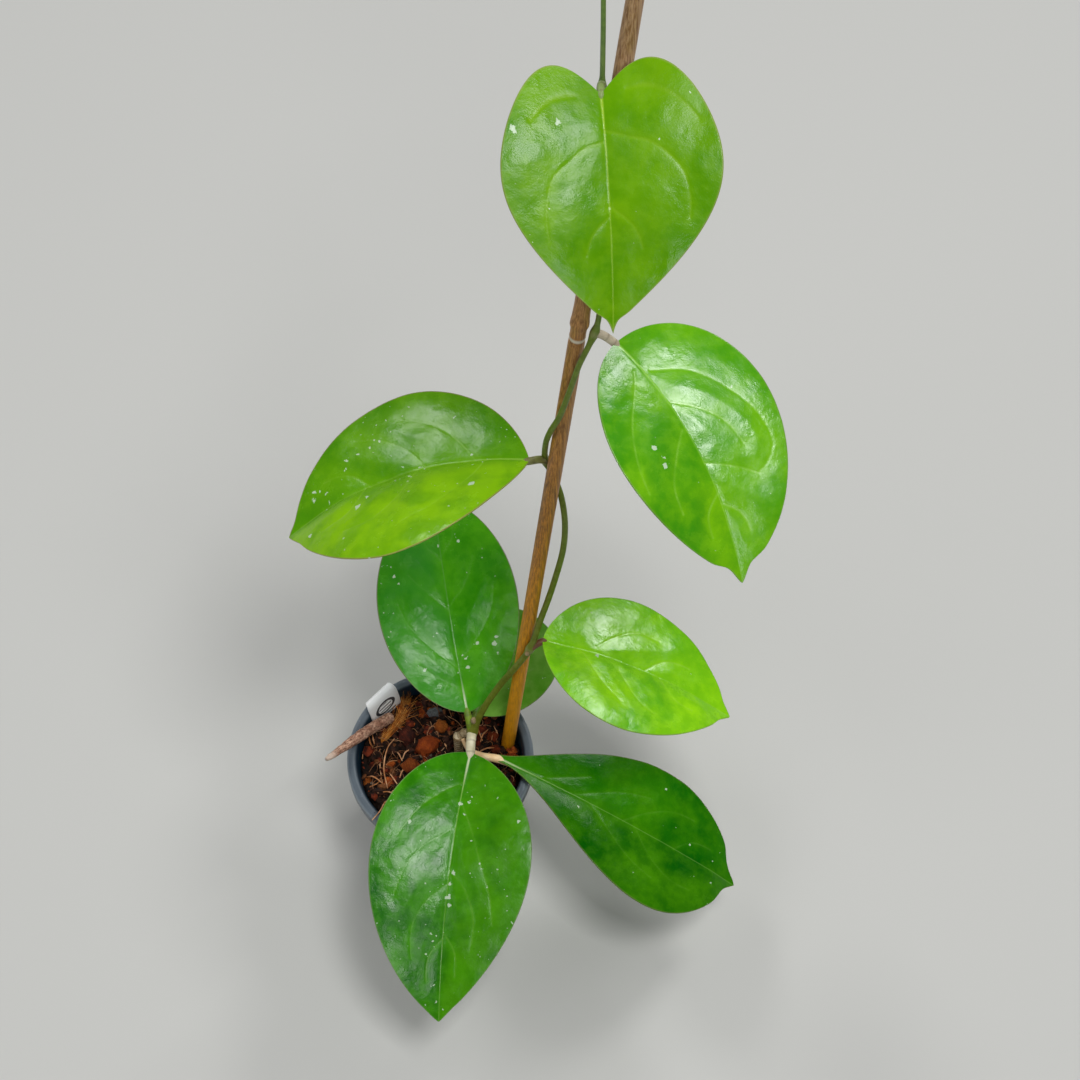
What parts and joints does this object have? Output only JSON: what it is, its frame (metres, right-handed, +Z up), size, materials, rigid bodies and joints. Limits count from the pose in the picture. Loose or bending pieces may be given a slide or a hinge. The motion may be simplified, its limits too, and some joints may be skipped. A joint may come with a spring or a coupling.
{
  "type": "potted hoya plant",
  "caption": "Climbing hoya with broad waxy leaves, twined round a bamboo cane in a small nursery pot of husk mix.",
  "frame": {"origin": "centre of the pot's underside, on the ground", "axes": "+Z up, +Y away from the long front leaf, which points along -Y; the cane leans towards +X and +Y"},
  "size_m": [0.1968, 0.2381, 0.6026],
  "materials": {
    "pot_plastic": "satin slate-grey moulded plastic",
    "potting_mix": "damp, dark and crumbly",
    "husk": "dry orange-brown coconut husk",
    "bark": "rough grey-brown bark",
    "grit": "dull grey stone",
    "label_plastic": "semi-gloss white plastic, a little soiled",
    "bamboo": "weathered golden-brown bamboo",
    "stem": "smooth olive-green living stem, corky at the base",
    "young_leaf": "waxy gloss, bright yellow-green",
    "old_leaf": "waxy gloss, deep green"
  },
  "bodies": {
    "root": {"pot": "pot_plastic", "potting_mix": "potting_mix", "husk_chip_1": "husk", "husk_chip_2": "husk", "husk_chip_3": "husk", "husk_chip_4": "husk", "husk_chip_5": "husk", "husk_chip_6": "husk", "bark_chip_1": "bark", "grit_1": "grit", "bark_twig": "bark", "husk_strip": "husk", "plant_label": "label_plastic", "cane": "bamboo", "stem": "stem", "leaf_1_top": "young_leaf", "leaf_2_upper_right": "young_leaf", "leaf_3_left": "young_leaf", "leaf_4_right": "young_leaf", "leaf_5_rear": "old_leaf", "leaf_6_rear_low": "old_leaf", "leaf_7_front": "old_leaf", "leaf_8_low_right": "old_leaf"}
  },
  "joints": []
}
